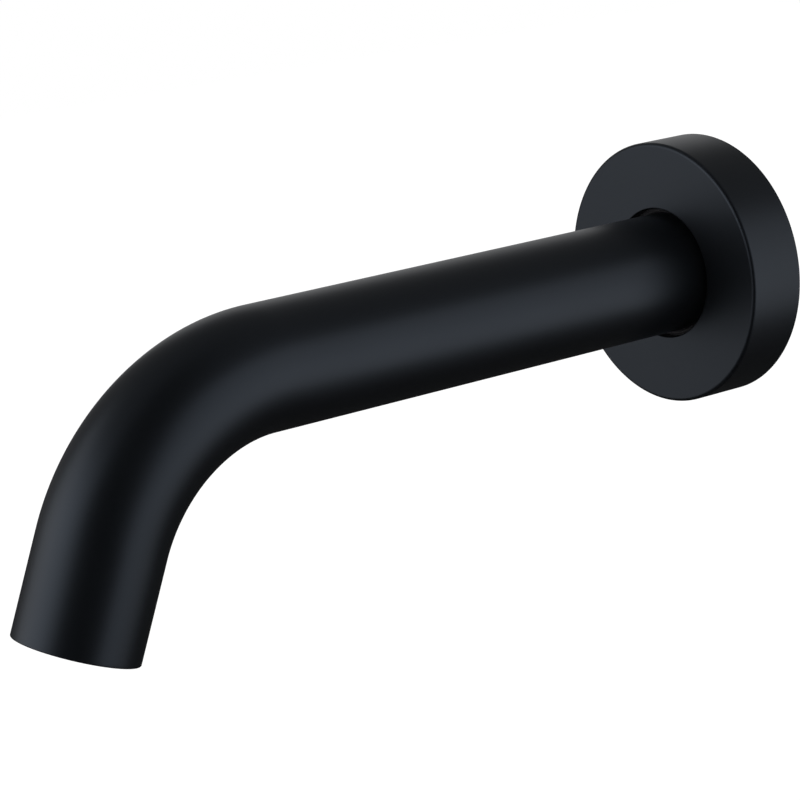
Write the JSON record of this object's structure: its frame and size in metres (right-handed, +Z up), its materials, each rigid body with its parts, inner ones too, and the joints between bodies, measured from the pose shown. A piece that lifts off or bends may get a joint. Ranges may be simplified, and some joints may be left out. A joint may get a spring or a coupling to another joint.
{
  "type": "faucet spout",
  "caption": "Wall-mounted water spout in matt black: a level round tube through a thick round wall flange, bent down at its end to an outlet with a screwed-in aerator.",
  "frame": {"origin": "where the tube's axis meets the finished wall, at the centre of the gasket's back face", "axes": "+Y into the wall along the level tube, so the spout points along -Y; +Z up; +X to the right of someone who faces the wall"},
  "size_m": [0.066, 0.2097, 0.0925],
  "materials": {
    "matt_black": "matt black coat on brass",
    "brass": "turned",
    "seal_rubber": "matt",
    "aerator_black": "moulded",
    "aerator_grey": "moulded"
  },
  "bodies": {
    "root": {"spout_tube": "matt_black", "wall_flange": "matt_black", "flange_seal": "seal_rubber", "wall_gasket": "seal_rubber", "inlet_socket": "brass", "inlet_washer": "seal_rubber", "outlet_socket": "matt_black", "aerator_washer": "seal_rubber", "aerator_housing": "aerator_black", "aerator_grid": "aerator_grey", "aerator_jet_plate": "aerator_grey", "aerator_strainer": "aerator_grey"}
  },
  "joints": []
}
